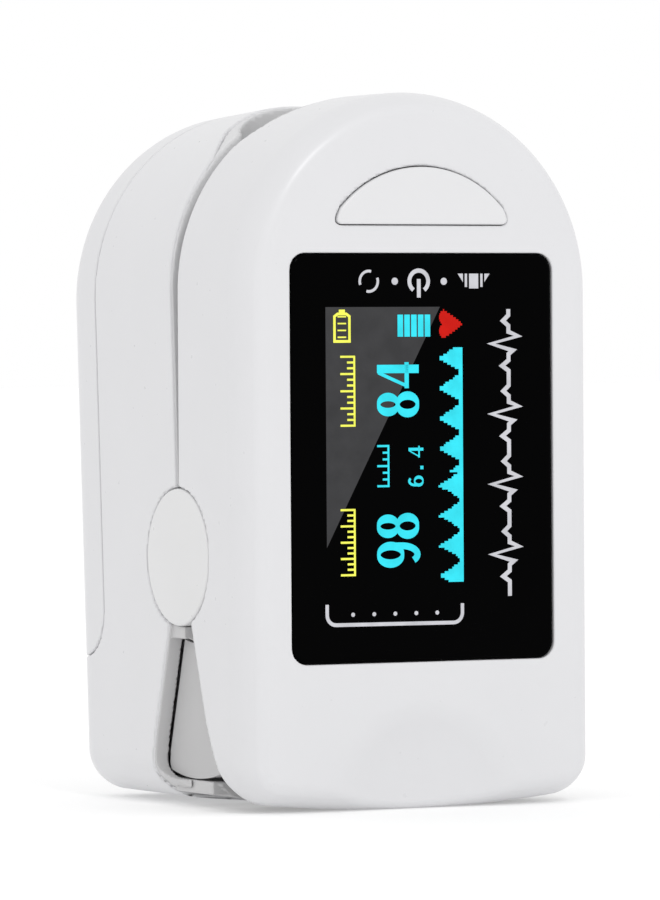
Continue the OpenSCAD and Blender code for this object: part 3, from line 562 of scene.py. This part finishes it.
# the grey frame in two pieces, cut at the hinge's height; the one round the wedge is finely meshed, and is given a
# darker grey than the upper piece: painted shade for the recessed wedge
solid("rear_frame_moulding", lambda x, v, w: np.maximum(rear_frame(x, v, w), hinge_z - w),
      (-half_w, -3.8, hinge_z), (half_w, 8.2, top), (0.3, 0.28, 0.34), "rear_half", "frame_grey",
      ["rear_frame"],
      ((-CHEEK_X, CHEEK_X), (0.1,), (hinge_z,)), True)
rim = solid("wedge_rim_moulding", lambda x, v, w: np.maximum(rear_frame(x, v, w), w - hinge_z),
            (-half_w, -4, -0.4), (half_w, 8.2, hinge_z), (0.3, 0.17, 0.17), "rear_half", "frame_grey",
            ["rear_frame"],
            ((-15.5, -14.7, 14.7, 15.5), (), (hinge_z,)), True)
# painted shade: the lower piece of the one grey frame gets a darker copy of its grey
rim.data.materials[0] = material("rim_grey_painted_shade", (0.77, 0.768, 0.77), rough=0.5, grain=1400, bump=0.006,
                                 mottle=0.015)
pad_lo, pad_hi = node_box("front_finger_pad")
solid("front_finger_pad_rubber", front_pad, pad_lo - 0.1, pad_hi + 0.1, (0.24, 0.2, 0.24),
                "front_half", "pad_rubber", ["front_finger_pad"])
solid("rear_finger_pad_rubber", rear_pad, (-9.2, 0.7, STOP_Z), (9.2, 6.6, PAD_TOP + 0.1),
                (0.24, 0.2, 0.24), "rear_half", "pad_rubber", ["rear_finger_pad"], leaning=True)


def foam_block(x, y, z):
    dent = 0.05 * np.sin(2.1 * x) * np.sin(1.7 * z)
    return block(x, y, z, foam_lo + 0.02, foam_hi - 0.02, 0.12) + dent * (y > foam_lo[1])


foam_lo, foam_hi = node_box("oled_foam")
solid("oled_foam_pad", foam_block, foam_lo, foam_hi, (0.4, 0.12, 0.4), "front_half", "foam_grey",
                ["oled_foam"])


def window_glass(x, y, z):
    d = window_outline(x, z, 0.0, WINDOW_CORNER)
    return roundmax(d, np.abs(y - (win_lo[1] + win_hi[1]) / 2) - (win_hi[1] - win_lo[1]) / 2, 0.35)


solid("window_glass", window_glass, win_lo, win_hi, (0.3, 0.12, 0.3), "front_half", "window_black",
      ["display_window"])


def turned(name, profile, side, body, slot, replaced, steps=120):
    """Disc turned about the hinge axis; the profile is (x, radius) from its outer centre inwards."""
    verts, faces = [(side * profile[0][0], 0, hinge_z)], []
    for x, r in profile[1:]:
        for i in range(steps):
            a = 2 * math.pi * i / steps
            verts.append((side * x, r * math.cos(a), hinge_z + r * math.sin(a)))
    for i in range(steps):
        j = (i + 1) % steps
        faces.append((0, 1 + i, 1 + j))
        for k in range(len(profile) - 2):
            a, b = 1 + k * steps, 1 + (k + 1) * steps
            faces.append((a + i, b + i, b + j, a + j))
    faces.append([1 + (len(profile) - 2) * steps + i for i in reversed(range(steps))])
    if side < 0:
        faces = [f[::-1] for f in faces]
    faces = [f[::-1] for f in faces]
    mesh = bpy.data.meshes.new(name)
    mesh.from_pydata(to_world(verts).tolist(), [], faces)
    mesh.polygons.foreach_set("use_smooth", [True] * len(faces))
    obj = link(name, mesh, body, finish[slot], replaced)
    mesh.set_sharp_from_angle(angle=math.radians(40))
    return obj


DOME_R, CAP_EDGE = 42.0, 0.25
cap_profile = []
for i in range(13):
    r = (cap_r - CAP_EDGE) * i / 12
    cap_profile.append((half_w + cap_proud - (DOME_R - math.sqrt(DOME_R ** 2 - r * r)), r))
rim_x = cap_profile[-1][0]
for i in range(1, 7):
    a = math.radians(15 * i)
    cap_profile.append((rim_x - CAP_EDGE * (1 - math.cos(a)), cap_r - CAP_EDGE + CAP_EDGE * math.sin(a)))
cap_profile += [(14.75, cap_r), (14.6, cap_r - 0.15)]
for side, name in ((-1, "left"), (1, "right")):
    turned("hinge_disc_" + name, cap_profile, side, "rear_half", "cap_plastic", ["hinge_cap_" + name])

# ---------- springs and flat cable that cross the hinge ----------


def tube(name, points, r, slot, replaced, sides=10, flat=None):
    """A wire of radius r, or a ribbon flat = (half width, half thickness), along the points."""
    p = np.array(points, float)
    verts, faces = [], []
    t = np.gradient(p, axis=0)
    t /= np.linalg.norm(t, axis=1)[:, None]
    across = np.array([1.0, 0, 0])
    for i in range(len(p)):
        up = np.cross(across, t[i])
        if np.linalg.norm(up) < 0.2:
            up = np.cross(np.array([0, 0, 1.0]), t[i])
        up /= np.linalg.norm(up)
        right = np.cross(t[i], up)
        for k in range(sides):
            a = 2 * math.pi * k / sides
            if flat:
                c, s = math.cos(a), math.sin(a)
                q = 0.35
                off = (right * flat[0] * math.copysign(abs(c) ** q, c)
                       + up * flat[1] * math.copysign(abs(s) ** q, s))
            else:
                off = r * (right * math.cos(a) + up * math.sin(a))
            verts.append(p[i] + off)
    n = len(p)
    for i in range(n - 1):
        for k in range(sides):
            j = (k + 1) % sides
            faces.append((i * sides + k, (i + 1) * sides + k, (i + 1) * sides + j, i * sides + j))
    faces.append(list(range(sides)))
    faces.append([(n - 1) * sides + k for k in reversed(range(sides))])
    mesh = bpy.data.meshes.new(name)
    mesh.from_pydata(to_world(verts).tolist(), [], faces)
    mesh.polygons.foreach_set("use_smooth", [True] * len(faces))
    obj = link(name, mesh, None, finish[slot], replaced)
    mesh.set_sharp_from_angle(angle=math.radians(50))
    return obj


SPRING_R, WIRE_R, TURNS, COIL_X = 1.75, 0.3, 5.5, 7.0
PITCH = 2 * WIRE_R + 0.1
for side, name in ((-1, "left"), (1, "right")):
    steps = int(TURNS * 24)
    path = [(side * COIL_X, 6.75 - 0.87 * i, 12 + 1.48 * i) for i in range(5)]
    for i in range(steps + 1):
        a = 2 * math.pi * TURNS * i / steps
        path.append((side * (COIL_X + PITCH * TURNS * i / steps), SPRING_R * math.cos(a),
                     hinge_z + SPRING_R * math.sin(a)))
    end_x = side * (COIL_X + PITCH * TURNS)
    path += [(end_x, -2.2 - 0.71 * i, 19.2 - 1.72 * i) for i in range(5)]
    spring = tube("jaw_spring_" + name, path, WIRE_R, "spring_steel", ["torsion_spring_" + name])
    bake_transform(spring)


cable = [leant(7.38, 36.9), leant(7.38, 25), leant(7.2, 22.6), (6.2, 19.4), (4.4, 16.6), (2, 14.8),
         (-0.8, 14.2), (-3.2, 14.9), (-5, 16.2), (-6.2, 17.6), (-6.4, 18.6)]
smooth = []
for i in range(len(cable) - 1):
    p = [np.array(cable[max(min(i + k, len(cable) - 1), 0)]) for k in (-1, 0, 1, 2)]
    for j in range(6):
        s = j / 6
        smooth.append(0.5 * (2 * p[1] + (p[2] - p[0]) * s + (2 * p[0] - 5 * p[1] + 4 * p[2] - p[3]) * s ** 2
                             + (3 * p[1] - p[0] - 3 * p[2] + p[3]) * s ** 3))
smooth.append(np.array(cable[-1]))
ribbon = tube("flat_cable", [(0, q[0], q[1]) for q in smooth], 0, "flex_orange", ["flex_cable"], 16,
              (2.6, 0.09))
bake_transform(ribbon)

# ---------- what the display shows ----------

glass_y = win_lo[1]
PROUD, SUNK = 0.014, 0.03


def inlay(name, shapes, colour, glow, proud=PROUD):
    """Thin raised shapes on the glass; each shape is a convex outline of (x, z) points."""
    verts, faces = [], []
    for i, shape in enumerate(shapes):
        front = glass_y - proud - 0.004 * i / len(shapes)     # each a hair above the last
        area = sum(a[0] * b[1] - b[0] * a[1] for a, b in zip(shape, shape[1:] + shape[:1]))
        if area < 0:
            shape = shape[::-1]
        n, k = len(shape), len(verts)
        verts += [(x, front, z) for x, z in shape] + [(x, glass_y + SUNK, z) for x, z in shape]
        faces.append([k + i for i in range(n)])
        faces.append([k + n + i for i in reversed(range(n))])
        faces += [(k + (i + 1) % n, k + i, k + n + i, k + n + (i + 1) % n) for i in range(n)]
    mesh = bpy.data.meshes.new(name)
    mesh.from_pydata(to_world(verts).tolist(), [], faces)
    look = material(name + "_ink", colour, rough=0.35, grain=5200, mottle=0.1, glow=glow, shine=0.05)
    return link(name, mesh, "front_half", look)


def bar(x0, z0, x1, z1):
    return [(x0, z0), (x1, z0), (x1, z1), (x0, z1)]


def arc(cx, cz, r, start=0, stop=360, squash=1.0, steps=28):
    a = [math.radians(start + (stop - start) * i / steps) for i in range(steps + 1)]
    return [(cx + r * squash * math.cos(t), cz + r * math.sin(t)) for t in a]


def disc(cx, cz, r):
    return arc(cx, cz, r)[:-1]


def stroke(points, width, closed=False):
    """Quads along a line with mitred joints; the width is a number or one for each point."""
    p = np.array(points, float)
    w = np.broadcast_to(np.asarray(width, float), len(p))
    t = np.diff(p, axis=0)
    t /= np.linalg.norm(t, axis=1)[:, None]
    n = np.stack([-t[:, 1], t[:, 0]], 1)
    before, after = np.concatenate([n[:1], n]), np.concatenate([n, n[-1:]])
    if closed:
        before[0], after[-1] = n[-1], n[0]
    mitre = before + after
    mitre /= np.linalg.norm(mitre, axis=1)[:, None]
    mitre /= np.maximum((mitre * after).sum(1), 0.45)[:, None]
    a, b = p + mitre * w[:, None] / 2, p - mitre * w[:, None] / 2
    return [[tuple(a[i]), tuple(a[i + 1]), tuple(b[i + 1]), tuple(b[i])] for i in range(len(p) - 1)]


def turned_up(shapes, x_base, z_left):
    """Shapes drawn as (along, up) for reading from below: along runs up the display, up runs to -X."""
    return [[(x_base - v, z_left + u) for u, v in s] for s in shapes]


def ring(cu, cv, ru, rv, thick, thin):
    """Numeral bowl: thick at its sides and thin at its top and bottom."""
    a = np.radians(np.arange(0, 361, 12))
    return stroke(list(zip(cu + ru * np.cos(a), cv + rv * np.sin(a))),
                  thin + (thick - thin) * np.abs(np.cos(a)), True)


def numeral(digit, w, h, bold):
    """A numeral w wide and h high, from bowls and strokes."""
    thin = bold * 0.4
    r = w / 2 - bold / 2
    if digit == 8:
        return (ring(w / 2, h * 0.74, r * 0.86, h * 0.26 - thin / 2, bold, thin)
                + ring(w / 2, h * 0.27, r, h * 0.27 - thin / 2, bold, thin))
    if digit in (6, 9):
        tail = [(w - bold / 2, h * 0.62)] + [
            (w / 2 + r * math.cos(a), h * 0.42 - (h * 0.42 - thin / 2) * math.sin(a))
            for a in np.radians(np.arange(0, 140, 10))]
        got = ring(w / 2, h * 0.68, r, h * 0.32 - thin / 2, bold, thin) + stroke(tail, bold * 0.8)
        return got if digit == 9 else [[(w - u, h - v) for u, v in s] for s in got]
    if digit == 4:
        return [bar(w * 0.58, 0, w * 0.58 + bold, h), bar(0, h * 0.24, w, h * 0.24 + thin * 1.4)] + stroke(
            [(0.1 * w, h * 0.3), (w * 0.35, h * 0.64), (w * 0.6, h * 0.97)], thin)
    return []


def reading(digits, w, h, bold, gap, x_base, z_left):
    got = []
    for i, digit in enumerate(digits):
        got += turned_up(numeral(digit, w, h, bold), x_base, z_left + i * (w + gap))
    return got


CYAN, YELLOW, RED, PRINT = (0.21, 0.83, 0.89), (0.91, 0.92, 0.36), (0.75, 0.1, 0.07), (0.71, 0.71, 0.73)
GLOW = 0.08
SCREEN_LEFT, SCREEN_TOP = -8.8, 40.6
SIGN_Z, TRACE_X = 42.67, 7.9

# painted reflection: a glowing grey triangle on the glass stands in for light reflected by the screen
inlay("painted_screen_reflection", [[(SCREEN_LEFT, SCREEN_TOP), (1.6, SCREEN_TOP), (SCREEN_LEFT, 21.3)]],
      (0.19, 0.19, 0.195), 0.6, proud=0.004)
# battery, signal bars and heart
cell_outline = stroke([(-8.0, 37.85), (-8.0, 39.85), (-7.72, 40.05), (-6.93, 40.05), (-6.65, 39.85),
                       (-6.65, 37.85), (-8.0, 37.85)], 0.22, True)
inlay("battery_icon", cell_outline + [bar(-7.6, 40.05, -7.05, 40.4)] + [
    bar(-7.72, 38.12 + 0.55 * i, -6.95, 38.24 + 0.55 * i) for i in range(4)], YELLOW, GLOW)
inlay("signal_bars", [bar(-2.28 + 0.62 * i, 38.2, -1.78 + 0.62 * i, 39.98) for i in range(5)], CYAN, GLOW)
heart = []
for step in range(14):
    z = 38.1 + 0.165 * step
    off = abs(z + 0.08 - 39.2)
    tip = 3.66 - 1.15 * off - 0.35 * off ** 2
    lobe = 2.1 - 0.58 * math.sqrt(max(0.02, 1 - ((off - 0.55) / 0.62) ** 2))
    heart.append(bar(lobe, z, max(tip, lobe + 0.1), z + 0.168))
inlay("pulse_heart", heart, RED, GLOW)

# readings, and tick scales where the real one has words
inlay("pulse_reading", reading([8, 4], 2.1, 3.8, 0.68, 0.25, -0.38, 31.7), CYAN, GLOW)
inlay("oxygen_reading", reading([9, 8], 2.1, 3.8, 0.68, 0.2, -0.45, 19.6), CYAN, GLOW)
index = turned_up(numeral(6, 0.9, 1.35, 0.26), 0.0, 26.1)
index += turned_up(numeral(4, 0.95, 1.35, 0.24), 0.0, 28.45)
index += turned_up([bar(1.4, 0, 1.68, 0.28)], 0.0, 26.1)
inlay("index_reading", index, CYAN, GLOW)


def ticks(x_base, z_left, length, tall, count, weight):
    """Plain scale: a line with long and short ticks."""
    got = [bar(0, 0, length, weight)]
    for i in range(count):
        at = (length - weight) * i / (count - 1)
        got.append(bar(at, weight, at + weight, tall if i % 3 == 0 else tall * 0.55))
    return turned_up(got, x_base, z_left)


inlay("pulse_scale", ticks(-6.15, 31.0, 5.7, 1.35, 13, 0.17), YELLOW, GLOW)
inlay("oxygen_scale", ticks(-6.2, 19.0, 5.4, 1.35, 13, 0.17), YELLOW, GLOW)
inlay("index_scale", ticks(-3.1, 26.1, 3.4, 1.1, 7, 0.17), CYAN, GLOW)

# pulse wave: one column of pixels after another, filled towards the edge of the screen
PIXEL, WAVE_X, WAVE_TALL, BEAT = 0.174, 3.64, 2.28, 2.43
columns = []
for i in range(int((37.4 - 18.35) / PIXEL)):
    z = 18.35 + PIXEL * i
    skip = 0.6 if z > 27.2 else 0.0
    phase = ((z - 18.75 - skip) / BEAT + 0.5) % 1 - 0.5
    rise = max(0.0, 1 - abs(phase) / (0.46 if phase > 0 else 0.4)) ** 1.15
    tall = 0.42 + (WAVE_TALL - 0.42) * rise
    columns.append(bar(WAVE_X - round(tall / PIXEL) * PIXEL, z, WAVE_X, z + PIXEL + 0.004))
inlay("pulse_wave", columns, CYAN, GLOW)

# print on the glass: a plain pulse trace, the bracket with its dots, and the row of signs; the print also glows a
# little (0.22), painted light that brightens it
trace, z = [(TRACE_X, 17.1)], 17.1
for _ in range(4):
    for step_z, x in [(1.2, TRACE_X), (0.4, 7.3), (0.45, TRACE_X), (0.5, TRACE_X), (0.3, 8.3),
                      (0.55, 6.3), (0.6, 8.8), (0.35, TRACE_X), (0.5, TRACE_X), (0.4, 7.4), (0.45, TRACE_X)]:
        z += step_z
        trace.append((x, z))
trace.append((TRACE_X, 40.4))
inlay("trace_print", stroke(trace, 0.36), PRINT, 0.22)
bracket = ([(-8.82, 16.75)] + arc(-8.02, 15.9, 0.8, 180, 270, steps=8)
           + arc(2.7, 15.86, 0.8, 270, 360, steps=8) + [(3.5, 16.6)])
inlay("bracket_print", stroke(bracket, 0.3) + [disc(-6.48 + 1.917 * i, 15.9, 0.17) for i in range(5)],
      PRINT, 0.22)
signs = stroke(arc(-4.87, SIGN_Z, 0.82, 75, 200), 0.22) + stroke(arc(-4.87, SIGN_Z, 0.82, 255, 380), 0.22)
signs += [disc(-2.51, SIGN_Z, 0.29), disc(1.97, 42.66, 0.29)]
signs += stroke(arc(-0.32, SIGN_Z, 0.86, -55, 235), 0.34) + [bar(-0.49, 41.35, -0.15, 42.85)]
signs += [bar(4.3, 42.08, 5.14, 43.28), bar(3.9, 42.2, 4.11, 43.28), bar(5.33, 42.2, 5.54, 43.28),
          [(3.25, 43.28), (3.73, 43.28), (3.73, 42.6)], [(5.71, 43.28), (6.19, 43.28), (5.71, 42.6)]]
inlay("sign_print", signs, PRINT, 0.22)

# ---------- camera ----------

CAM_YAW, CAM_PITCH, CAM_ROLL = math.radians(27.32), math.radians(-0.84), math.radians(-0.37)
camera = bpy.data.objects.new("camera", bpy.data.cameras.new("camera"))
bpy.context.scene.collection.objects.link(camera)
camera.data.lens = 267.8
camera.data.sensor_width = 36
camera.data.clip_start = 0.01
bpy.context.scene.camera = camera
look = (Matrix.Rotation(-CAM_YAW, 4, "Z") @ Matrix.Rotation(math.pi / 2 + CAM_PITCH, 4, "X")
        @ Matrix.Rotation(CAM_ROLL, 4, "Z"))
camera.matrix_world = Matrix.Translation((-254.64 * MM, (-489.09 + place_y) * MM, 37.02 * MM)) @ look

# ---------- light and floor ----------


def lamp(name, size, power, where, at=(0, 0, 0.03)):
    light = bpy.data.objects.new(name, bpy.data.lights.new(name, "AREA"))
    light.data.size = size
    light.data.energy = power
    light.location = where
    light.rotation_euler = (Vector(at) - Vector(where)).to_track_quat("-Z", "Y").to_euler()
    bpy.context.scene.collection.objects.link(light)


lamp("key", 0.1, 0.5, (-0.06, -0.5, 0.38))
world = bpy.data.worlds.new("studio")
world.use_nodes = True
tree = world.node_tree
background = tree.nodes["Background"]
background.inputs[0].default_value = (1, 1, 1, 1)
background.inputs[1].default_value = 1.0
bpy.context.scene.world = world
bpy.context.scene.view_settings.view_transform = "Standard"

paper = bpy.data.materials.new("paper")
paper.use_nodes = True
shader = paper.node_tree.nodes["Principled BSDF"]
shader.inputs["Base Color"].default_value = (0.75, 0.75, 0.75, 1)
shader.inputs["Roughness"].default_value = 0.9
shader.inputs["Emission Color"].default_value = (1, 1, 1, 1)
shader.inputs["Emission Strength"].default_value = 0.27
mesh = bpy.data.meshes.new("floor")
mesh.from_pydata([(-6, -6, 0), (6, -6, 0), (6, 6, 0), (-6, 6, 0)], [], [(0, 1, 2, 3)])
mesh.materials.append(paper)
floor = bpy.data.objects.new("floor", mesh)
bpy.context.scene.collection.objects.link(floor)
